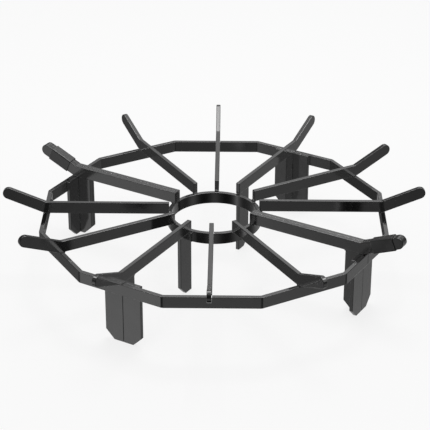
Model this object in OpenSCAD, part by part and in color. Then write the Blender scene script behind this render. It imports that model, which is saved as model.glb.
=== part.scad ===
// Round log grate of welded flat bar for a fire pit, in two halves.
// Millimetres. +Z is up, the feet stand on z = 0, and the origin is under the middle of the hub.
// Places round the grate are told by the clock: 12 is the back (+Y), 3 the right (+X).
// The halves meet on the line from 4 to 10 o'clock. There each half has a bar of its own,
// and a slip-on sleeve holds each pair of bars together.

/* [Flat bar] */
// Thickness of the bars of the spokes, rim and hub
bar_t = 9.5; // [6:0.5:14]
// Height of the bars
bar_h = 25.4; // [20:0.2:36]

/* [Rim and hub] */
// Distance across two opposite sides of the twelve-sided rim
rim_across = 736.6; // [560:1:900]
// Outside diameter of the hub ring
hub_d = 202; // [160:1:260]
// Inside radius of the bends between the rim's sides
rim_bend = 3.5; // [2:0.5:12]
// How far each half's spokes are moved away from the split
fan_offset = 8.8; // [6:0.1:14]

/* [Spokes] */
// Slope of the upturned arms in degrees
arm_angle = 23; // [12:1:34]
// Length of an arm from its bend to its tip
arm_len = 97; // [90:1:140]
// How far inside the rim's outer face the bend lies
bend_inset = 10.3; // [6:0.1:16]

/* [Legs] */
// Height of the rim's top above the ground
leg_h = 139.7; // [100:0.1:220]
// Width of the leg plates
leg_w = 42.7; // [32:0.1:60]
// Thickness of the leg plates
leg_t = 8; // [5:0.5:12]
// Size of the cut-off corner at a foot
foot_cut = 20; // [8:0.5:24]
// Depth of the webs behind the outer leg plates
web_w = 31; // [28:0.1:60]

/* [Sleeves] */
// Length of a coupling sleeve
sleeve_len = 52; // [36:1:55]
// Wall of a coupling sleeve
sleeve_wall = 1.6; // [1.2:0.1:2.4]
// Free play between a sleeve and the bars in it, on each side
sleeve_play = 0.4; // [0.3:0.05:1]
// How far the sleeve at 4 o'clock sits beyond the bend
sleeve_at_4 = 24; // [8:1:26]
// How far the sleeve at 10 o'clock sits beyond the bend
sleeve_at_10 = 19; // [8:1:26]

/* [Fit] */
// Gap between two pieces that stand face to face
seam = 0.3; // [0.1:0.1:0.8]
// Leg length of the weld beads
weld = 4; // [2:0.5:6]
// Leg length of the thinner beads along the legs' webs
thin_weld = 2; // [1:0.5:3]

/* [Hidden] */
$fn = 96;
hour = 30;
split_a = 4;
split_b = 10;
mid_hour = 1;
rear_hours = [11, 12, 1, 2, 3];
front_hours = [5, 6, 7, 8, 9];
spoke_hours = concat(rear_hours, front_hours);
split_hours = [split_a, split_b];
halves = ["rear", "front"];
flank_names = ["left", "right"];
leg_hours = [1, 7];

rim_r = rim_across / 2;
rim_in = rim_r - bar_t;
half_side = hour / 2;
hub_r = hub_d / 2;
spoke_in = hub_r + seam - fan_offset;
bend_r = rim_r - bend_inset;
bend_cut = bar_h / 2 * tan(arm_angle / 2);
arm_mid = arm_len - bar_h / 2;
tip_c = [bend_r + arm_mid * cos(arm_angle), bar_h / 2 + arm_mid * sin(arm_angle)];
tip_side = bar_h / 2 * [sin(arm_angle), -cos(arm_angle)];
sleeve_hole_w = 2 * bar_t + seam + 2 * sleeve_play;
sleeve_hole_h = bar_h + 2 * sleeve_play;
plate_in = rim_in - leg_t;
web_in = plate_in - web_w;
rim_bead_len = leg_w / 2;
clock = [1:12];

// Which half a clock position is in: 1 for the rear half, -1 for the front half
function half_of(h) = len(search(h, rear_hours)) > 0 ? 1 : -1;

// How far the spokes' offset moves a piece outwards and sideways at a clock position
function offset_out(h) = half_of(h) * fan_offset * cos(hour * (h - mid_hour));
function offset_side(h) = -half_of(h) * fan_offset * sin(hour * (h - mid_hour));

// The side of the split line that a half lies on, seen from the hub: 1 is clockwise
function split_side(h, s) = (s == "rear") == (h == split_b) ? 1 : -1;
function hours_of(s) = s == "rear" ? rear_hours : front_hours;
function leg_hour_of(s) = s == "rear" ? leg_hours[0] : leg_hours[1];

// A place on the clock: +Y then points outwards from the hub and +X clockwise
module at_hour(h) {
    rotate([0, 0, -hour * h]) children();
}

// The same, moved away from the split with the half that the hour is in
module at_fan(h) {
    at_hour(h) translate([offset_side(h), offset_out(h), 0]) children();
}

// A flat piece whose outline lies in the upright plane through the hub, from x0 to x0 + t
module upright(x0, t) {
    translate([x0, 0, 0]) rotate([90, 0, 90]) linear_extrude(t) children();
}

// Outline of a spoke: level from its inner end to the bend, then an arm with a round tip
module spoke_outline() {
    translate([0, leg_h]) {
        polygon([
            [spoke_in, 0],
            [bend_r + bend_cut, 0],
            tip_c + tip_side,
            tip_c - tip_side,
            [bend_r - bend_cut, bar_h],
            [spoke_in, bar_h]
        ]);
        translate(tip_c) circle(d = bar_h);
    }
}

module spoke(h) {
    color("#2b2b2b") at_fan(h) upright(-bar_t / 2, bar_t) spoke_outline();
}

// Where a piece of thickness t starts when its face is on the split line
function split_x0(h, s, t) = split_side(h, s) > 0 ? seam / 2 : -seam / 2 - t;

module split_bar(h, s) {
    color("#2b2b2b") at_hour(h) upright(split_x0(h, s, bar_t), bar_t) spoke_outline();
}

// The twelve-sided rim filled in, seen from above, with its sides at r and its corners rounded
module rim_filled(r, corner_r) {
    point_r = (r - corner_r) / cos(half_side);
    offset(r = corner_r)
        polygon([for (h = clock) point_r * [sin(hour * h + half_side), cos(hour * h + half_side)]]);
}

// Half of the rim, one bar bent at its six corners
module rim_half(s) {
    color("#303030") translate([0, 0, leg_h - bar_h]) linear_extrude(bar_h)
        intersection() {
            difference() {
                rim_filled(rim_r, rim_bend + bar_t);
                rim_filled(rim_in, rim_bend);
            }
            at_hour(split_b) translate([split_x0(split_b, s, rim_across), -rim_across])
                square([rim_across, 2 * rim_across]);
        }
}

// Half of the ring under the spokes' inner ends
module hub_ring(s) {
    color("#303030") at_hour(split_b) translate([0, 0, leg_h - bar_h]) linear_extrude(bar_h)
        intersection() {
            difference() {
                circle(r = hub_r);
                circle(r = hub_r - bar_t);
            }
            translate([split_x0(split_b, s, hub_d), -hub_d]) square([hub_d, 2 * hub_d]);
        }
}

// A leg plate from x = 0 to x = w with the far bottom corner cut off
module leg_outline(w) {
    polygon([
        [0, 0],
        [w - foot_cut, 0],
        [w, foot_cut],
        [w, leg_h],
        [0, leg_h]
    ]);
}

// Outer leg plate against the rim's inner face, on one side of its clock position
module leg_plate(h, side) {
    color("#333333") at_hour(h) mirror([side > 0 ? 0 : 1, 0, 0]) translate([seam / 2, rim_in, 0])
        rotate([90, 0, 0]) linear_extrude(leg_t) leg_outline(leg_w);
}

// Web behind the outer leg plates, with its foot cut off towards the hub
module leg_web(h, x0) {
    color("#333333") at_hour(h) upright(x0, leg_t)
        translate([plate_in, 0]) mirror([1, 0]) leg_outline(web_w);
}

// Plate under a spoke's inner end, outside the hub ring
module inner_leg(h) {
    color("#333333") at_fan(h) upright(-leg_t / 2, leg_t) translate([spoke_in, 0]) leg_outline(leg_w);
}

// Rectangular sleeve round the two arms at the split
module coupling_sleeve(h) {
    outer_w = sleeve_hole_w + 2 * sleeve_wall;
    outer_h = sleeve_hole_h + 2 * sleeve_wall;
    start = h == split_a ? sleeve_at_4 : sleeve_at_10;
    color("#262626") at_hour(h) translate([0, bend_r, leg_h + bar_h / 2]) rotate([arm_angle, 0, 0])
        translate([0, start + sleeve_len, 0]) rotate([90, 0, 0]) linear_extrude(sleeve_len)
            difference() {
                square([outer_w, outer_h], center = true);
                square([sleeve_hole_w, sleeve_hole_h], center = true);
            }
}

// Bead in the corner between an upright face at y = 0 and a level face above it
module under_bead(width) {
    upright(-width / 2, width) polygon([[0, 0], [-weld, 0], [0, -weld]]);
}

// Beads under the spokes, against the rim's inner face or a leg's web
module spoke_welds(s) {
    color("#3a3a3a") {
        for (h = hours_of(s))
            at_hour(h) translate([offset_side(h), h == leg_hour_of(s) ? web_in : rim_in, leg_h])
                under_bead(h == leg_hour_of(s) ? leg_t : bar_t);
        for (h = split_hours)
            at_hour(h) translate([split_x0(h, s, leg_t) + leg_t / 2, web_in, leg_h])
                under_bead(leg_t);
    }
}

// Bead round the outside of the hub ring, just under its top
module hub_bead() {
    translate([0, 0, leg_h]) rotate_extrude()
        polygon([[hub_r, 0], [hub_r + weld, 0], [hub_r, -weld]]);
}

// Beads that hold the spokes' inner ends to the hub ring, and the inner leg to its outside
module hub_welds(s) {
    inner_h = leg_hour_of(s);
    color("#3a3a3a") {
        for (h = hours_of(s))
            if (h != inner_h)
                intersection() {
                    hub_bead();
                    at_fan(h) upright(-bar_t / 2, bar_t) square([rim_r, leg_h + bar_h]);
                }
        for (h = split_hours)
            intersection() {
                hub_bead();
                at_hour(h) upright(split_x0(h, s, bar_t), bar_t) square([rim_r, leg_h + bar_h]);
            }
        for (side = [-1, 1])
            at_hour(inner_h) translate([0, 0, leg_h - bar_h]) linear_extrude(bar_h - weld)
                difference() {
                    polygon([
                        [side * leg_t / 2, hub_r - weld],
                        [side * (leg_t / 2 + weld), hub_r - weld],
                        [side * leg_t / 2, hub_r + weld]
                    ]);
                    circle(r = hub_r);
                }
    }
}

// Bead along the corner between a leg plate's outer face and the rim's underside
module rim_bead() {
    translate([leg_w / 2, rim_in, leg_h - bar_h]) upright(-rim_bead_len / 2, rim_bead_len)
        polygon([[0, 0], [weld, 0], [0, -weld]]);
}

// Upright bead in the corner between a leg plate's inner face and the web's side at x = 0
module web_bead() {
    translate([0, plate_in, foot_cut]) linear_extrude(leg_h - foot_cut - bar_h)
        polygon([[0, 0], [thin_weld, 0], [0, -thin_weld]]);
}

// Beads that hold the outer leg plates to the rim and to their webs
module leg_welds(s) {
    h = leg_hour_of(s);
    color("#3a3a3a") {
        for (side = [0, 1])
            at_hour(h) mirror([side, 0, 0]) {
                rim_bead();
                translate([leg_t / 2, 0, 0]) web_bead();
            }
        for (k = split_hours)
            at_hour(k) mirror([split_side(k, s) > 0 ? 0 : 1, 0, 0]) {
                rim_bead();
                translate([seam / 2 + leg_t, 0, 0]) web_bead();
            }
    }
}

for (h = spoke_hours)
    spoke(h);
for (h = split_hours)
    for (s = halves)
        split_bar(h, s);
for (s = halves)
    rim_half(s);
for (s = halves)
    hub_ring(s);
for (h = leg_hours)
    for (f = flank_names)
        leg_plate(h, f == "right" ? 1 : -1);
for (h = leg_hours)
    leg_web(h, -leg_t / 2);
for (h = split_hours)
    for (s = halves)
        leg_plate(h, split_side(h, s));
for (h = split_hours)
    for (s = halves)
        leg_web(h, split_x0(h, s, leg_t));
for (h = leg_hours)
    inner_leg(h);
for (h = split_hours)
    coupling_sleeve(h);
for (s = halves)
    spoke_welds(s);
for (s = halves)
    hub_welds(s);
for (s = halves)
    leg_welds(s);
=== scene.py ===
"""Round log grate of welded flat bar for a fire pit, in a semi-gloss black coat.

The grate stands on its feet at z = 0 with the middle of its hub over the origin. Places round it
are told by the clock: 12 is the back, 3 the right. At a clock position "out" points away from the
hub, "side" points clockwise and "up" is up. Sizes are in millimetres until the points go into a mesh.
"""
import math

import bpy
import numpy as np
from mathutils import Matrix, Vector


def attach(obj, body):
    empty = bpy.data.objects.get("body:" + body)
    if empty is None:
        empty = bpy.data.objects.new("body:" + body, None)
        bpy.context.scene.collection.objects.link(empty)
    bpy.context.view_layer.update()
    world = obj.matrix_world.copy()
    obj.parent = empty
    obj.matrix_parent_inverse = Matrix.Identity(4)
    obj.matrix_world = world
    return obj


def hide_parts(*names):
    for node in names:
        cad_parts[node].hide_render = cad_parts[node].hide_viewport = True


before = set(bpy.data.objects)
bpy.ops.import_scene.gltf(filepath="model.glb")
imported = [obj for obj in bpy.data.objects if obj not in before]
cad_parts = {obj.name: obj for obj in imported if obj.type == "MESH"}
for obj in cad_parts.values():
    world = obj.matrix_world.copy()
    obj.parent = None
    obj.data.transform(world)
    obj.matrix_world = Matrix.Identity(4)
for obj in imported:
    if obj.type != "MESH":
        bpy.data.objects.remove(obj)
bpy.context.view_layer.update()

# ---- Sizes of the grate, in millimetres -----------------------------------------------------

BAR_T = 9.5
BAR_H = 25.4
RIM_R = 368.3
RIM_IN = RIM_R - BAR_T
HUB_R = 101.0
FAN_OFFSET = 8.8
SEAM = 0.3
WELD = 4.0
THIN_WELD = 2.0
ARM_ANGLE = math.radians(23.0)
ARM_LEN = 97.0
BEND_R = RIM_R - 10.3
LEG_H = 139.7
LEG_W = 42.7
LEG_T = 8.0
FOOT_CUT = 20.0
WEB_W = 31.0
PLATE_IN = RIM_IN - LEG_T
WEB_IN = PLATE_IN - WEB_W
SPOKE_IN = HUB_R + SEAM - FAN_OFFSET
SLEEVE_LEN = 52.0
SLEEVE_WALL = 1.6
SLEEVE_PLAY = 0.4
SLEEVE_AT = {4: 24.0, 10: 19.0}

HOUR = math.radians(30.0)
MID_HOUR = 1
REAR_HOURS = (11, 12, 1, 2, 3)
FRONT_HOURS = (5, 6, 7, 8, 9)
SPLIT_HOURS = (4, 10)
HALVES = {"rear": REAR_HOURS, "front": FRONT_HOURS}
LEG_HOUR = {"rear": 1, "front": 7}
MM = 0.001

# ---- Rounding of the steel ------------------------------------------------------------------

BAR_EDGE = 1.2
BAR_CORNER = 1.5
LEG_EDGE = 0.8
LEG_CORNER = 1.1
BEND_INSIDE = 8.0
BEND_OUTSIDE = BEND_INSIDE + BAR_H
RIM_BEND = 3.5
LAND = 0.2
SAME_POINT = 1e-6
CORNER_STEPS = 12
EDGE_STEPS = 5
SECTION_STEPS = 6

# ---- Shapes ---------------------------------------------------------------------------------


def on_clock(hour, side, out, up):
    """Points in metres from side, out and up at a clock position.

    x is side times the cosine of the hour's angle plus out times its sine; y is out times the
    cosine minus side times the sine.
    """
    side, out, up = np.broadcast_arrays(side, out, up)
    turn = hour * HOUR
    x = side * np.cos(turn) + out * np.sin(turn)
    y = out * np.cos(turn) - side * np.sin(turn)
    return MM * np.stack([x, y, up], axis=-1)


def rounded_outline(corners, radii, steps=CORNER_STEPS):
    """Points of a closed outline with arcs for corners, and the outward normals there.

    An arc starts and ends radius times tan(turn / 2) from its corner. Its points are its centre
    plus the radius times the right-hand normal of a direction that turns evenly from one side to
    the next. A hollow corner turns the other way, so its radius counts as negative. A narrow land
    lies straight before and after each arc, so that the flats beside it are lit as flats.
    """
    corners = np.asarray(corners, float)
    leg = corners - np.roll(corners, 1, axis=0)
    length = np.linalg.norm(leg, axis=1)[:, None]
    heading = np.arctan2(leg[:, 1], leg[:, 0])
    turn = (np.roll(heading, -1) - heading + np.pi) % (2 * np.pi) - np.pi
    radius = np.asarray(radii, float) * np.sign(turn)
    reach = radius * np.tan(turn / 2)
    start = corners - leg / length * reach[:, None]
    left = np.stack([-np.sin(heading), np.cos(heading)], axis=-1)
    centre = start + radius[:, None] * left
    angle = heading[:, None] + turn[:, None] * np.linspace(0, 1, steps + 1)
    normal = np.stack([np.sin(angle), -np.cos(angle)], axis=-1)
    points = centre[:, None] + radius[:, None, None] * normal
    ahead = np.stack([-normal[..., 1], normal[..., 0]], axis=-1)
    before = np.clip((length[:, 0] - reach - np.roll(reach, 1)) / 2, 0, LAND)[:, None, None]
    after = np.roll(before, -1, axis=0)
    lead, tail = points[:, :1] - before * ahead[:, :1], points[:, -1:] + after * ahead[:, -1:]
    points = np.concatenate([lead, points, tail], axis=1)
    normal = np.concatenate([normal[:, :1], normal, normal[:, -1:]], axis=1)
    points, normal = points.reshape(-1, 2), normal.reshape(-1, 2)
    apart = np.linalg.norm(points - np.roll(points, 1, axis=0), axis=1) > SAME_POINT
    return points[apart], normal[apart]


def edge_profile(thickness, edge):
    """Inset, depth and edge mask across a plate, from its first face to its second.

    Each edge is a quarter circle: inset is edge times (1 - sin), depth edge times (1 - cos). A
    narrow land lies flat beside it on the face. The mask is sin(twice the angle): 1 halfway round.
    """
    turn = np.linspace(0, np.pi / 2, EDGE_STEPS + 1)
    inset = np.concatenate([[edge + LAND], edge * (1 - np.sin(turn)), [0]])
    depth = np.concatenate([[0], edge * (1 - np.cos(turn)), [edge + LAND]])
    mask = np.concatenate([[0], np.sin(2 * turn), [0]])
    return (
        np.concatenate([inset, inset[::-1]]),
        np.concatenate([depth, thickness - depth[::-1]]),
        np.concatenate([mask, mask[::-1]]),
    )


def grid_quads(rows, cols, rows_close=False):
    """Quads between neighbours of a grid whose columns close on themselves."""
    row = np.arange(rows if rows_close else rows - 1)[:, None]
    col = np.arange(cols)[None, :]
    row_next = (row + 1) % rows
    col_next = (col + 1) % cols
    quads = [row * cols + col, row * cols + col_next, row_next * cols + col_next, row_next * cols + col]
    return np.stack(quads, axis=-1).reshape(-1, 4)


def end_caps(rows, cols):
    """The two flat faces that close the first and the last row of a grid."""
    first = np.arange(cols)[::-1]
    last = np.arange(cols) + (rows - 1) * cols
    return [first.tolist(), last.tolist()]


def add_piece(name, points, quads, caps, edge, material, body, node):
    """Puts a surface into a mesh, smooth but for its flat caps, and in place of its CAD node."""
    mesh = bpy.data.meshes.new(name)
    mesh.from_pydata(points.reshape(-1, 3).tolist(), [], quads.tolist() + caps)
    mesh.polygons.foreach_set("use_smooth", [True] * len(quads) + [False] * len(caps))
    mask = mesh.attributes.new("edge", "FLOAT", "POINT")
    mask.data.foreach_set("value", np.ascontiguousarray(edge, np.float32).ravel())
    mesh.materials.append(material)
    mesh.update()
    piece = bpy.data.objects.new(name, mesh)
    bpy.context.scene.collection.objects.link(piece)
    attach(piece, body)
    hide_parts(node)
    return piece


def plate_grid(corners, radii, thickness, edge):
    """Outline coordinates a and b, depth and edge mask of a plate with rounded edges.

    A point is the outline's point minus inset times the outline's normal, at the profile's depth.
    """
    outline, normal = rounded_outline(corners, radii)
    inset, depth, mask = edge_profile(thickness, edge)
    face = outline[None] - inset[:, None, None] * normal[None]
    depth = np.broadcast_to(depth[:, None], face.shape[:2])
    mask = np.broadcast_to(mask[:, None], face.shape[:2])
    return face[..., 0], face[..., 1], depth, mask


def add_plate(name, points, edge, material, node):
    """Puts in a closed piece of the grate from rows of points, with flat caps at both ends."""
    rows, cols = points.shape[:2]
    quads, caps = grid_quads(rows, cols), end_caps(rows, cols)
    return add_piece(name, points, quads, caps, edge, material, "grate", node)


# ---- Coats ----------------------------------------------------------------------------------

NUMBER = "NodeSocketFloat"
COLOUR = "NodeSocketColor"
PEEL_SCALE = 520.0
WAVE_SCALE = 34.0
CLOUD_SCALE = 9.0
SPECK_SCALE = 240.0
SPECK_GAIN = 4.0
SPECK_LIMIT = -1.6
RUBBED_DULLER = 0.15
COAT_RELIEF = 0.0001
# Painted reflection: the Layer Weight facing range and the bright colours it maps to for glossy rays.
PAINTED_REFLECTION_FACING = (0.20, 0.58)
PAINTED_REFLECTION_TONES = (0.38, 1.0)


def node_group(name, inputs, outputs):
    """An empty shader node group with number or colour sockets, and its input and output nodes."""
    group = bpy.data.node_groups.new(name, "ShaderNodeTree")
    for label, kind in inputs:
        group.interface.new_socket(label, in_out="INPUT", socket_type=kind)
    for label, kind in outputs:
        group.interface.new_socket(label, in_out="OUTPUT", socket_type=kind)
    return group, group.nodes.new("NodeGroupInput"), group.nodes.new("NodeGroupOutput")


def noise(tree, coordinates, scale, detail=2.0):
    """A noise pattern from 0 to 1, whose scale is a number or another node's output."""
    texture = tree.nodes.new("ShaderNodeTexNoise")
    texture.inputs["Detail"].default_value = detail
    if isinstance(scale, float):
        texture.inputs["Scale"].default_value = scale
    else:
        tree.links.new(scale, texture.inputs["Scale"])
    tree.links.new(coordinates, texture.inputs["Vector"])
    return texture.outputs["Fac"]


def maths(tree, operation, first, second=0.0, third=0.0, clamp=False):
    """The output of one sum on numbers or other nodes' outputs."""
    node = tree.nodes.new("ShaderNodeMath")
    node.operation = operation
    node.use_clamp = clamp
    for socket, value in zip(node.inputs, (first, second, third)):
        if isinstance(value, float):
            socket.default_value = value
        else:
            tree.links.new(value, socket)
    return node.outputs[0]


def object_coordinates(tree):
    """Places on the piece, in metres, which move with it."""
    return tree.nodes.new("ShaderNodeTexCoord").outputs["Object"]


def coat_surface_group():
    """Height of a sprayed coat: fine orange peel on slow waves of the rolled steel below."""
    group, given, result = node_group(
        "coat_surface",
        [("Peel Scale", NUMBER), ("Peel", NUMBER), ("Waves", NUMBER)],
        [("Height", NUMBER)],
    )
    place = object_coordinates(group)
    peel = noise(group, place, given.outputs["Peel Scale"])
    peel = maths(group, "MULTIPLY", peel, given.outputs["Peel"])
    waves = noise(group, place, WAVE_SCALE, detail=1.0)
    waves = maths(group, "MULTIPLY", waves, given.outputs["Waves"])
    group.links.new(maths(group, "ADD", peel, waves), result.inputs["Height"])
    return group


def coat_tone_group():
    """Colour and roughness of the coat: dull clouds, and edges rubbed a little lighter."""
    group, given, result = node_group(
        "coat_tone",
        [
            ("Coat", COLOUR),
            ("Rubbed", COLOUR),
            ("Clouds", NUMBER),
            ("Wear", NUMBER),
            ("Gloss Roughness", NUMBER),
        ],
        [("Color", COLOUR), ("Roughness", NUMBER)],
    )
    place = object_coordinates(group)
    cloud = noise(group, place, CLOUD_SCALE, detail=3.0)
    speck = noise(group, place, SPECK_SCALE, detail=3.0)
    edge = group.nodes.new("ShaderNodeAttribute")
    edge.attribute_name = "edge"
    rub = maths(group, "MULTIPLY_ADD", speck, SPECK_GAIN, SPECK_LIMIT, clamp=True)
    rub = maths(group, "MULTIPLY", rub, edge.outputs["Fac"])
    rub = maths(group, "MULTIPLY", rub, given.outputs["Wear"], clamp=True)
    mix = group.nodes.new("ShaderNodeMix")
    mix.data_type = "RGBA"
    group.links.new(rub, mix.inputs["Factor"])
    group.links.new(given.outputs["Coat"], mix.inputs["A"])
    group.links.new(given.outputs["Rubbed"], mix.inputs["B"])
    group.links.new(mix.outputs["Result"], result.inputs["Color"])
    dull = maths(group, "MULTIPLY", maths(group, "SUBTRACT", cloud, 0.5), given.outputs["Clouds"])
    dull = maths(group, "ADD", dull, given.outputs["Gloss Roughness"])
    dull = maths(group, "MULTIPLY_ADD", rub, RUBBED_DULLER, dull, clamp=True)
    group.links.new(dull, result.inputs["Roughness"])
    return group


def place_group(tree, group, **values):
    """A group's node with its input values; an underscore in a name stands for a space."""
    node = tree.nodes.new("ShaderNodeGroup")
    node.node_tree = group
    for label, value in values.items():
        node.inputs[label.replace("_", " ")].default_value = value
    return node


def ramp(tree, value, start, end, low, high):
    """An even rise from low at start to high at end, level beyond them."""
    node = tree.nodes.new("ShaderNodeMapRange")
    for label, number in zip(("From Min", "From Max", "To Min", "To Max"), (start, end, low, high)):
        node.inputs[label].default_value = number
    tree.links.new(value, node.inputs["Value"])
    return node.outputs["Result"]


def painted_reflection_tone(tree):
    """Painted reflection: the bright colour a bar shows in the gloss of another, brighter where light
    glances off it.
    """
    facing = tree.nodes.new("ShaderNodeLayerWeight")
    facing.inputs["Blend"].default_value = 0.5
    return ramp(tree, facing.outputs["Facing"], *PAINTED_REFLECTION_FACING, *PAINTED_REFLECTION_TONES)


def black_coat(name, tone, rubbed, gloss, peel_scale, peel, waves, clouds, wear):
    """A semi-gloss black coat on steel, with its own tone, gloss and orange peel.

    Camera and matt rays meet a plain black coat. Glossy rays, which carry what one bar mirrors of
    another, meet a bright metal mirror instead, whose colour is a painted reflection.
    """
    material = bpy.data.materials.new(name)
    material.use_nodes = True
    tree = material.node_tree
    paint = tree.nodes["Principled BSDF"]
    colour = place_group(
        tree,
        COAT_TONE,
        Coat=(tone, tone, tone, 1.0),
        Rubbed=(rubbed, rubbed, rubbed, 1.0),
        Clouds=clouds,
        Wear=wear,
        Gloss_Roughness=gloss,
    )
    surface = place_group(tree, COAT_SURFACE, Peel_Scale=peel_scale, Peel=peel, Waves=waves)
    bump = tree.nodes.new("ShaderNodeBump")
    bump.inputs["Strength"].default_value = 1.0
    bump.inputs["Distance"].default_value = COAT_RELIEF
    tree.links.new(surface.outputs["Height"], bump.inputs["Height"])
    # Painted reflection: glossy rays get a bright metallic colour in place of the black coat.
    coat_or_painted_reflection = tree.nodes.new("ShaderNodeMix")
    coat_or_painted_reflection.data_type = "RGBA"
    mirrored = tree.nodes.new("ShaderNodeLightPath").outputs["Is Glossy Ray"]
    tree.links.new(mirrored, coat_or_painted_reflection.inputs["Factor"])
    tree.links.new(mirrored, paint.inputs["Metallic"])
    tree.links.new(colour.outputs["Color"], coat_or_painted_reflection.inputs["A"])
    tree.links.new(painted_reflection_tone(tree), coat_or_painted_reflection.inputs["B"])
    tree.links.new(coat_or_painted_reflection.outputs["Result"], paint.inputs["Base Color"])
    tree.links.new(colour.outputs["Roughness"], paint.inputs["Roughness"])
    tree.links.new(bump.outputs["Normal"], paint.inputs["Normal"])
    return material


COAT_SURFACE = coat_surface_group()
COAT_TONE = coat_tone_group()
BAR_LOOK = {"tone": 0.004, "rubbed": 0.03, "gloss": 0.13, "clouds": 0.10, "wear": 0.35}
BAR_RELIEF = {"peel_scale": PEEL_SCALE, "peel": 0.25, "waves": 1.0}
LEG_LOOK = {"tone": 0.004, "rubbed": 0.03, "gloss": 0.14, "clouds": 0.12, "wear": 0.35}
LEG_RELIEF = {"peel_scale": PEEL_SCALE, "peel": 0.30, "waves": 1.2}
SLEEVE_LOOK = {"tone": 0.003, "rubbed": 0.015, "gloss": 0.34, "clouds": 0.10, "wear": 0.40}
SLEEVE_RELIEF = {"peel_scale": PEEL_SCALE, "peel": 0.25, "waves": 0.8}
WELD_LOOK = {"tone": 0.004, "rubbed": 0.02, "gloss": 0.26, "clouds": 0.15, "wear": 0.20}
WELD_RELIEF = {"peel_scale": 700.0, "peel": 0.40, "waves": 1.5}
SPOKE_COAT = black_coat("spoke_coat", **BAR_LOOK, **BAR_RELIEF)
FRAME_COAT = black_coat("frame_coat", **BAR_LOOK, **BAR_RELIEF)
LEG_COAT = black_coat("leg_coat", **LEG_LOOK, **LEG_RELIEF)
SLEEVE_COAT = black_coat("sleeve_coat", **SLEEVE_LOOK, **SLEEVE_RELIEF)
WELD_COAT = black_coat("weld_coat", **WELD_LOOK, **WELD_RELIEF)

# ---- Spokes and split bars ------------------------------------------------------------------


def half_sign(hour):
    """1 in the rear half, -1 in the front half."""
    return 1 if hour in REAR_HOURS else -1


def fan(hour):
    """How far the spokes' offset from the split moves a piece sideways and outwards."""
    turn = HOUR * (hour - MID_HOUR)
    return -half_sign(hour) * FAN_OFFSET * math.sin(turn), half_sign(hour) * FAN_OFFSET * math.cos(turn)


def split_start(hour, half, thickness):
    """Where a piece begins that lies against the split: on its clockwise side or the other."""
    clockwise = (half == "rear") == (hour == 10)
    return SEAM / 2 if clockwise else -SEAM / 2 - thickness


def spoke_corners():
    """Outline in out and up: level from the inner end to the bend, then the arm.

    The bend's corners lie where the bar's edges meet, half the height times tan(angle / 2) to
    either side. The tip is two quarter circles of half the bar's height.
    """
    run = np.array([math.cos(ARM_ANGLE), math.sin(ARM_ANGLE)])
    rise = np.array([-run[1], run[0]])
    shift = BAR_H / 2 * math.tan(ARM_ANGLE / 2)
    tip = np.array([BEND_R, LEG_H + BAR_H / 2]) + ARM_LEN * run
    corners = [
        (SPOKE_IN, LEG_H),
        (BEND_R + shift, LEG_H),
        tip - BAR_H / 2 * rise,
        tip + BAR_H / 2 * rise,
        (BEND_R - shift, LEG_H + BAR_H),
        (SPOKE_IN, LEG_H + BAR_H),
    ]
    radii = [BAR_CORNER, BEND_OUTSIDE, BAR_H / 2, BAR_H / 2, BEND_INSIDE, BAR_CORNER]
    return corners, radii


def add_bar(name, hour, side, out, node):
    """A bent bar whose thickness starts at side, moved outwards by out."""
    a, b, depth, mask = plate_grid(*spoke_corners(), BAR_T, BAR_EDGE)
    points = on_clock(hour, side + depth, a + out, b)
    add_plate(name, points, mask, SPOKE_COAT, node)


for hour in REAR_HOURS + FRONT_HOURS:
    shift_side, shift_out = fan(hour)
    add_bar(f"coated_spoke_{hour}", hour, shift_side - BAR_T / 2, shift_out, f"spoke_{hour}")
for hour in SPLIT_HOURS:
    for half in HALVES:
        name = f"split_bar_{hour}_{half}"
        add_bar(f"coated_{name}", hour, split_start(hour, half, BAR_T), 0.0, name)

# ---- Rim and hub ----------------------------------------------------------------------------

HUB_STEPS = 73
HUB_END = 0.001


def bar_section(inner):
    """Outline of an upright bar's section in out and up, and its edge mask."""
    corners = [
        (inner, LEG_H - BAR_H),
        (inner + BAR_T, LEG_H - BAR_H),
        (inner + BAR_T, LEG_H),
        (inner, LEG_H),
    ]
    points, normal = rounded_outline(corners, [BAR_EDGE] * 4, SECTION_STEPS)
    return points[:, 0], points[:, 1], np.abs(2 * normal[:, 0] * normal[:, 1])


def ribbon_caps(rows, cols):
    """Flat caps of a bent bar seen from above: quads from its outer run across to its inner run."""
    i = np.arange(cols // 2 - 1)
    across = np.stack([i, i + 1, cols - 2 - i, cols - 1 - i], axis=-1)
    return across[:, ::-1].tolist() + (across + (rows - 1) * cols).tolist()


def add_rim_half(name, mid_hour, node):
    """Half of the twelve-sided rim: one bar bent round six corners, seen from above as a plate.

    A corner lies at the flat's distance from the hub over cos(15 degrees), at 15, 45 and 75 degrees
    either side of the half's middle. The ends lie half the seam from the split.
    """
    turn = np.arange(2.5, -3, -1) * HOUR
    around = np.stack([np.sin(turn), np.cos(turn)], axis=-1) / math.cos(HOUR / 2)
    corners = [(RIM_R, SEAM / 2), *(RIM_R * around), (-RIM_R, SEAM / 2)]
    corners += [(-RIM_IN, SEAM / 2), *(RIM_IN * around[::-1]), (RIM_IN, SEAM / 2)]
    end = [BAR_EDGE]
    radii = end + [RIM_BEND + BAR_T] * 6 + end * 2 + [RIM_BEND] * 6 + end
    a, b, depth, mask = plate_grid(corners, radii, BAR_H, BAR_EDGE)
    points = on_clock(mid_hour, a, b, LEG_H - BAR_H + depth)
    quads, caps = grid_quads(*a.shape), ribbon_caps(*a.shape)
    add_piece(name, points, quads, caps, mask, FRAME_COAT, "grate", node)


add_rim_half("coated_rim_half_rear", 1, "rim_half_rear")
add_rim_half("coated_rim_half_front", 7, "rim_half_front")


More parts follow.
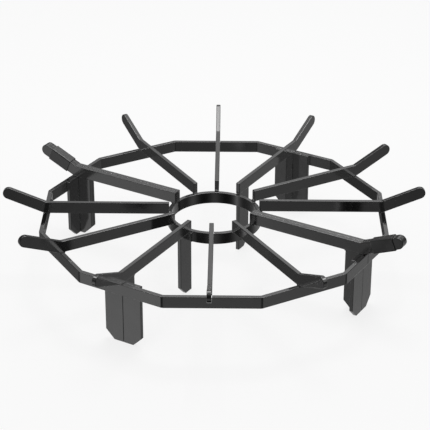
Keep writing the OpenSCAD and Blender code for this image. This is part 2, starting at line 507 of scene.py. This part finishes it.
def add_hub_half(name, first_hour, node):
    """Half of the hub ring: the section turned clockwise between its two flat ends.

    The ends lie half the seam from the split, at the angle whose sine is that over the radius. Two
    narrow steps beside them keep the ring's shading off the flat ends.
    """
    out, up, mask = bar_section(HUB_R - BAR_T)
    start = np.arcsin(SEAM / 2 / out)
    along = np.concatenate([[0], np.linspace(HUB_END, 1 - HUB_END, HUB_STEPS), [1]])
    turn = start + along[:, None] * (np.pi - 2 * start)
    points = on_clock(first_hour, out * np.sin(turn), out * np.cos(turn), up[None])
    mask = np.broadcast_to(mask, points.shape[:2])
    add_plate(name, points, mask, FRAME_COAT, node)


add_hub_half("coated_hub_ring_rear", 10, "hub_ring_rear")
add_hub_half("coated_hub_ring_front", 4, "hub_ring_front")

# ---- Legs -----------------------------------------------------------------------------------


def leg_corners(width):
    """Outline of a leg plate in a and up, with the far bottom corner cut off."""
    corners = [(0, 0), (width - FOOT_CUT, 0), (width, FOOT_CUT), (width, LEG_H), (0, LEG_H)]
    return corners, [LEG_CORNER] * 5


def mirrored(corners, radii):
    """The same outline with a turned to -a, in reversed order so that it still runs round leftwards."""
    return [(-a, b) for a, b in corners[::-1]], radii[::-1]


def add_leg_plate(name, hour, clockwise, node):
    """An outer leg plate against the rim's inner face: its outline in side and up, its depth inwards."""
    outline = leg_corners(LEG_W)
    if not clockwise:
        outline = mirrored(*outline)
    a, b, depth, mask = plate_grid(*outline, LEG_T, LEG_EDGE)
    seam = SEAM / 2 if clockwise else -SEAM / 2
    points = on_clock(hour, a + seam, RIM_IN - depth, b)
    add_plate(name, points, mask, LEG_COAT, node)


def add_leg_upright(name, hour, side, out, outline, node):
    """A leg piece in an upright plane through the hub: its outline in out and up, its depth sideways."""
    a, b, depth, mask = plate_grid(*outline, LEG_T, LEG_EDGE)
    points = on_clock(hour, side + depth, a + out, b)
    add_plate(name, points, mask, LEG_COAT, node)


web = mirrored(*leg_corners(WEB_W))
for hour in LEG_HOUR.values():
    for flank in ("left", "right"):
        name = f"leg_{hour}_{flank}_plate"
        add_leg_plate(f"coated_{name}", hour, flank == "right", name)
    add_leg_upright(f"coated_leg_{hour}_web", hour, -LEG_T / 2, PLATE_IN, web, f"leg_{hour}_web")
    shift_side, shift_out = fan(hour)
    name = f"inner_leg_{hour}"
    outline = leg_corners(LEG_W)
    add_leg_upright(f"coated_{name}", hour, shift_side - LEG_T / 2, shift_out + SPOKE_IN, outline, name)
for hour in SPLIT_HOURS:
    for half in HALVES:
        start = split_start(hour, half, LEG_T)
        name = f"leg_{hour}_{half}_plate"
        add_leg_plate(f"coated_{name}", hour, start > 0, name)
        name = f"leg_{hour}_{half}_web"
        add_leg_upright(f"coated_{name}", hour, start, PLATE_IN, web, name)

# ---- Coupling sleeves -----------------------------------------------------------------------

SLEEVE_CORNER = 2.6
LIP = 0.7
RING_STEPS = 8
LIP_STEPS = 4


def add_sleeve(hour):
    """A slip-on sleeve: the wall's own loop carried round a rounded rectangle.

    The loop runs along the outside, round the far lip, back along the inside and round the near
    lip. A point is the rectangle's point plus the loop's offset times the rectangle's normal.
    """
    half_w = (2 * BAR_T + SEAM) / 2 + SLEEVE_PLAY + SLEEVE_WALL / 2
    half_h = BAR_H / 2 + SLEEVE_PLAY + SLEEVE_WALL / 2
    corners = [(-half_w, -half_h), (half_w, -half_h), (half_w, half_h), (-half_w, half_h)]
    ring, normal = rounded_outline(corners, [SLEEVE_CORNER - SLEEVE_WALL / 2] * 4, RING_STEPS)
    half_wall = SLEEVE_WALL / 2
    lip_corners = [(-half_wall, 0), (half_wall, 0), (half_wall, SLEEVE_LEN), (-half_wall, SLEEVE_LEN)]
    loop, loop_normal = rounded_outline(lip_corners, [LIP] * 4, LIP_STEPS)
    offset, depth = loop[:, 0][:, None], loop[:, 1][:, None]
    section = ring[None] + offset[..., None] * normal[None]
    along = SLEEVE_AT[hour] + SLEEVE_LEN - np.broadcast_to(depth, section.shape[:2])
    rise = section[..., 1]
    out = BEND_R + along * math.cos(ARM_ANGLE) - rise * math.sin(ARM_ANGLE)
    up = LEG_H + BAR_H / 2 + along * math.sin(ARM_ANGLE) + rise * math.cos(ARM_ANGLE)
    points = on_clock(hour, section[..., 0], out, up)
    mask = np.abs(2 * loop_normal[:, 0] * loop_normal[:, 1])[:, None]
    mask = np.maximum(mask, np.abs(2 * normal[:, 0] * normal[:, 1])[None])
    rows, cols = points.shape[:2]
    name = f"coupling_sleeve_{hour}"
    quads = grid_quads(rows, cols, rows_close=True)
    add_piece(f"coated_{name}", points, quads, [], mask, SLEEVE_COAT, f"sleeve_{hour}", name)


for hour in SPLIT_HOURS:
    add_sleeve(hour)

# ---- Weld beads -----------------------------------------------------------------------------

RIPPLE = 1.7
RIPPLE_DEPTH = 0.09
BEAD_END = 0.04
BEAD_BLUNT = 10
BEAD_STEPS = 48
BEAD_ROUND = 20
FILLET = 0.88
SIDE = np.array([1.0, 0.0, 0.0])
OUT = np.array([0.0, 1.0, 0.0])
UP = np.array([0.0, 0.0, 1.0])


def add_beads(name, beads, node):
    """Rippled weld beads, each a rod laid in a corner so that only its rounded front shows.

    A bead is (hour, start, end, first, second): start and end of the corner in side, out and up,
    and the two half-widths of the rod as directions. A point is the corner's point plus cos times
    the first and sin times the second direction, times a swell of overlapping ripples that
    closes in at both ends.
    """
    along = np.linspace(0, 1, BEAD_STEPS)
    round_ = np.linspace(0, 2 * np.pi, BEAD_ROUND, endpoint=False)
    grids = []
    for hour, start, end, first, second in beads:
        start, end, first, second = (np.asarray(v, float) for v in (start, end, first, second))
        ripples = np.linalg.norm(end - start) / RIPPLE
        swell = 1 - RIPPLE_DEPTH * ((along * ripples) % 1.0) ** 2
        swell = swell * np.clip(1 - np.abs(2 * along - 1) ** BEAD_BLUNT, BEAD_END, 1) ** 0.5
        rod = np.cos(round_)[:, None] * first + np.sin(round_)[:, None] * second
        path = start + along[:, None] * (end - start)
        solid = path[:, None] + swell[:, None, None] * rod[None]
        grids.append(on_clock(hour, solid[..., 0], solid[..., 1], solid[..., 2]))
    size = BEAD_STEPS * BEAD_ROUND
    shift = np.arange(len(grids)) * size
    quads = (grid_quads(BEAD_STEPS, BEAD_ROUND)[None] + shift[:, None, None]).reshape(-1, 4)
    caps = [(np.array(cap) + k).tolist() for k in shift for cap in end_caps(BEAD_STEPS, BEAD_ROUND)]
    points = np.stack(grids)
    mask = np.zeros(points.shape[:-1])
    add_piece(name, points, quads, caps, mask, WELD_COAT, "grate", node)


def level_bead(hour, side, width, out, up):
    """A bead along a level corner that runs sideways."""
    start, end = (side - width / 2, out, up), (side + width / 2, out, up)
    return hour, start, end, FILLET * WELD * OUT, FILLET * WELD * UP


def upright_bead(hour, side, out, low, high, size):
    """A bead in an upright corner."""
    return hour, (side, out, low), (side, out, high), FILLET * size * SIDE, FILLET * size * OUT


for half, hours in HALVES.items():
    leg_hour = LEG_HOUR[half]
    under = []
    hub = []
    for hour in hours:
        shift_side, shift_out = fan(hour)
        has_leg = hour == leg_hour
        width, out = (LEG_T, WEB_IN) if has_leg else (BAR_T, RIM_IN)
        under.append(level_bead(hour, shift_side, width, out, LEG_H))
        if not has_leg:
            out = math.sqrt(HUB_R**2 - shift_side**2)
            hub.append(level_bead(hour, shift_side, BAR_T, out, LEG_H))
    for side in (-1, 1):
        hub.append(upright_bead(leg_hour, side * LEG_T / 2, HUB_R, LEG_H - BAR_H, LEG_H - WELD, WELD))
    at_legs = []
    for hour in SPLIT_HOURS:
        start = split_start(hour, half, LEG_T)
        under.append(level_bead(hour, start + LEG_T / 2, LEG_T, WEB_IN, LEG_H))
        middle = split_start(hour, half, BAR_T) + BAR_T / 2
        hub.append(level_bead(hour, middle, BAR_T, HUB_R, LEG_H))
        sign = 1 if start > 0 else -1
        side = sign * (SEAM / 2 + LEG_T)
        at_legs.append(level_bead(hour, sign * LEG_W / 2, LEG_W / 2, RIM_IN, LEG_H - BAR_H))
        at_legs.append(upright_bead(hour, side, PLATE_IN, FOOT_CUT, LEG_H - BAR_H, THIN_WELD))
    for sign in (-1, 1):
        side = sign * LEG_T / 2
        at_legs.append(level_bead(leg_hour, sign * LEG_W / 2, LEG_W / 2, RIM_IN, LEG_H - BAR_H))
        at_legs.append(upright_bead(leg_hour, side, PLATE_IN, FOOT_CUT, LEG_H - BAR_H, THIN_WELD))
    add_beads(f"coated_spoke_welds_{half}", under, f"spoke_welds_{half}")
    add_beads(f"coated_hub_welds_{half}", hub, f"hub_welds_{half}")
    add_beads(f"coated_leg_welds_{half}", at_legs, f"leg_welds_{half}")

# ---- Floor, light and camera ----------------------------------------------------------------

FLOOR_HALF = 12.0
FLOOR_WHITE = 0.9
FLOOR_GLOW = 0.8
LAMP_AIM = Vector((0.0, 0.0, 0.1))
SENSOR_WIDTH = 36.0
EVEN_LIGHT = 0.62

# Gloss sees a studio of soft lights, each (azimuth in degrees, sharpness, strength). A ramp is
# (start, end, low, high) for the light's strength over level, the sine of the elevation.
STRIP_BASE = 0.035
STRIPS = (
    (-125.0, 25.0, 0.20),
    (-150.0, 36.0, 0.50),
    (-100.0, 20.0, 0.16),
    (-65.0, 30.0, 0.83),
    (-64.0, 200.0, 0.80),
    (-1.0, 35.0, 0.56),
    (61.0, 30.0, 0.72),
    (92.0, 20.0, 0.13),
    (124.0, 24.0, 0.55),
    (150.0, 36.0, 0.50),
)
STRIP_RAMPS = ((-0.22, -0.08, 1.0, 0.2), (-0.80, -0.62, 0.1, 1.0))
FLOOR_STRIPS = ((0.0, 8.0, 0.75), (-64.0, 20.0, 0.60), (61.0, 20.0, 0.50))
FLOOR_RAMPS = ((-0.45, -0.55, 0.0, 1.0), (-0.80, -0.62, 0.0, 1.0))
WINDOW_STRIPS = (
    (172.0, 9.0, 1.80),
    (118.0, 12.0, 0.95),
    (60.0, 8.0, 2.40),
    (-60.0, 8.0, 0.58),
    (-118.0, 8.0, 0.40),
)
WINDOW_RAMPS = ((0.25, 0.5, 0.0, 1.0),)
BACK_STRIPS = (
    (90.0, 8.0, 0.45),
    (-90.0, 8.0, 0.45),
    (145.0, 12.0, 0.60),
    (-145.0, 12.0, 0.60),
    (180.0, 12.0, 0.15),
)
BACK_RAMPS = ((-0.40, -0.25, 0.0, 1.0), (0.08, 0.22, 1.0, 0.0))
BACK_FLOOR_STRIPS = ((110.0, 8.0, 0.60), (-110.0, 8.0, 0.60), (180.0, 8.0, 0.60))
BACK_FLOOR_RAMPS = ((-0.50, -0.58, 0.0, 1.0),)
BANDS = (
    (FLOOR_STRIPS, FLOOR_RAMPS),
    (WINDOW_STRIPS, WINDOW_RAMPS),
    (BACK_STRIPS, BACK_RAMPS),
    (BACK_FLOOR_STRIPS, BACK_FLOOR_RAMPS),
)
SOFT_BOXES = ((98.0, 80.0, 18.0), (-98.0, 80.0, 18.0))
BOX_ELEVATION = 64.0
CEILING_RAMP = (0.7, 0.95, 0.0, 1.5)


def white_floor():
    """White ground that the camera sees nearly white, and that keeps a faint shadow of the grate."""
    material = bpy.data.materials.new("white_floor")
    material.use_nodes = True
    tree = material.node_tree
    paint = tree.nodes["Principled BSDF"]
    paint.inputs["Base Color"].default_value = (FLOOR_WHITE, FLOOR_WHITE, FLOOR_WHITE, 1.0)
    paint.inputs["Roughness"].default_value = 1.0
    paint.inputs["Specular IOR Level"].default_value = 0.0
    glow = tree.nodes.new("ShaderNodeEmission")
    glow.inputs["Color"].default_value = (1.0, 1.0, 1.0, 1.0)
    glow.inputs["Strength"].default_value = 1.0
    seen = seen_rays(tree)
    mix = tree.nodes.new("ShaderNodeMixShader")
    tree.links.new(maths(tree, "MULTIPLY", seen, FLOOR_GLOW), mix.inputs[0])
    tree.links.new(paint.outputs[0], mix.inputs[1])
    tree.links.new(glow.outputs[0], mix.inputs[2])
    tree.links.new(mix.outputs[0], tree.nodes["Material Output"].inputs["Surface"])
    return material


def seen_rays(tree):
    """1 for camera, glossy and transmission rays."""
    rays = tree.nodes.new("ShaderNodeLightPath")
    seen = maths(tree, "ADD", rays.outputs["Is Camera Ray"], rays.outputs["Is Glossy Ray"])
    return maths(tree, "ADD", seen, rays.outputs["Is Transmission Ray"], clamp=True)


def add_floor():
    """A wide square of white ground under the feet, which gloss doesn't see."""
    mesh = bpy.data.meshes.new("floor")
    corner = np.array([(-1, -1, 0), (1, -1, 0), (1, 1, 0), (-1, 1, 0)], float) * FLOOR_HALF
    mesh.from_pydata(corner.tolist(), [], [(0, 1, 2, 3)])
    mesh.materials.append(white_floor())
    floor = bpy.data.objects.new("floor", mesh)
    floor.visible_glossy = False
    bpy.context.scene.collection.objects.link(floor)


def soft_lights(tree, direction, lights, elevation=0.0):
    """Sum of soft lights: upright strips for a level direction, round spots for a free one.

    Each gives its strength times e to the sharpness times (cos(angle from its middle) - 1).
    """
    out, up = math.cos(math.radians(elevation)), math.sin(math.radians(elevation))
    total = 0.0
    for azimuth, sharpness, strength in lights:
        dot = tree.nodes.new("ShaderNodeVectorMath")
        dot.operation = "DOT_PRODUCT"
        turn = math.radians(azimuth)
        dot.inputs[1].default_value = (math.sin(turn) * out, -math.cos(turn) * out, up)
        tree.links.new(direction, dot.inputs[0])
        power = maths(tree, "MULTIPLY_ADD", dot.outputs["Value"], sharpness, -sharpness)
        total = maths(tree, "MULTIPLY_ADD", maths(tree, "EXPONENT", power), strength, total)
    return total


def fade(tree, light, level, ramps):
    """A light times its ramps over level."""
    for numbers in ramps:
        light = maths(tree, "MULTIPLY", light, ramp(tree, level, *numbers))
    return light


def studio_light(tree, direction):
    """What gloss sees: strips all round, bands of strips at other levels, two boxes and a ceiling."""
    flat = tree.nodes.new("ShaderNodeVectorMath")
    flat.operation = "MULTIPLY"
    flat.inputs[1].default_value = (1.0, 1.0, 0.0)
    tree.links.new(direction, flat.inputs[0])
    level_direction = tree.nodes.new("ShaderNodeVectorMath")
    level_direction.operation = "NORMALIZE"
    tree.links.new(flat.outputs[0], level_direction.inputs[0])
    heading = level_direction.outputs[0]
    parts = tree.nodes.new("ShaderNodeSeparateXYZ")
    tree.links.new(direction, parts.inputs[0])
    level = parts.outputs["Z"]
    around = maths(tree, "ADD", soft_lights(tree, heading, STRIPS), STRIP_BASE)
    lights = [fade(tree, around, level, STRIP_RAMPS)]
    for strips, ramps in BANDS:
        lights.append(fade(tree, soft_lights(tree, heading, strips), level, ramps))
    lights.append(soft_lights(tree, direction, SOFT_BOXES, BOX_ELEVATION))
    total = ramp(tree, level, *CEILING_RAMP)
    for light in lights:
        total = maths(tree, "ADD", total, light)
    return total


def add_world():
    """White surroundings for the camera, an even light for matt surfaces and a studio for gloss."""
    world = bpy.data.worlds.new("studio")
    world.use_nodes = True
    tree = world.node_tree
    sky = tree.nodes["Background"]
    sky.inputs["Color"].default_value = (1.0, 1.0, 1.0, 1.0)
    direction = tree.nodes.new("ShaderNodeTexCoord").outputs["Generated"]
    rays = tree.nodes.new("ShaderNodeLightPath")
    gloss = maths(tree, "MULTIPLY", rays.outputs["Is Glossy Ray"], studio_light(tree, direction))
    through = rays.outputs["Is Transmission Ray"]
    straight = maths(tree, "ADD", rays.outputs["Is Camera Ray"], through, clamp=True)
    seen = maths(tree, "ADD", straight, gloss)
    even = maths(tree, "SUBTRACT", 1.0, seen_rays(tree))
    tree.links.new(maths(tree, "MULTIPLY_ADD", even, EVEN_LIGHT, seen), sky.inputs["Strength"])
    bpy.context.scene.world = world


def add_lamp(name, place, size, power):
    """A square soft box that faces the middle of the grate."""
    lamp = bpy.data.lights.new(name, "AREA")
    lamp.size = size
    lamp.energy = power
    obj = bpy.data.objects.new(name, lamp)
    obj.location = place
    obj.rotation_euler = (LAMP_AIM - Vector(place)).to_track_quat("-Z", "Y").to_euler()
    bpy.context.scene.collection.objects.link(obj)


def add_camera(azimuth, elevation, distance, target, roll, lens):
    """Camera that looks from azimuth and elevation at target, turned by roll.

    Distance and target are in metres, and target is told from the hub's middle at the legs' height.
    """
    az, el = math.radians(azimuth), math.radians(elevation)
    place = distance * Vector((math.sin(az) * math.cos(el), -math.cos(az) * math.cos(el), math.sin(el)))
    forward = (Vector(target) - place).normalized()
    right = forward.cross(Vector((0, 0, 1))).normalized()
    up = right.cross(forward)
    turn = math.radians(roll)
    across = right * math.cos(turn) + up * math.sin(turn)
    up = up * math.cos(turn) - right * math.sin(turn)
    data = bpy.data.cameras.new("camera")
    data.lens = lens
    data.sensor_width = SENSOR_WIDTH
    camera = bpy.data.objects.new("camera", data)
    axes = Matrix((across, up, -forward)).transposed().to_4x4()
    camera.matrix_world = Matrix.Translation(place + Vector((0, 0, LEG_H * MM))) @ axes
    bpy.context.scene.collection.objects.link(camera)
    bpy.context.scene.camera = camera


add_floor()
add_world()
add_lamp("soft_box_above", place=(0.12, 0.84, 2.6), size=1.05, power=24.0)
add_camera(
    azimuth=0.668977,
    elevation=27.09799,
    distance=3.532410,
    target=(0.00177968, -0.01539745, 0.0),
    roll=0.116758,
    lens=137.105,
)
bpy.context.scene.view_settings.view_transform = "Standard"
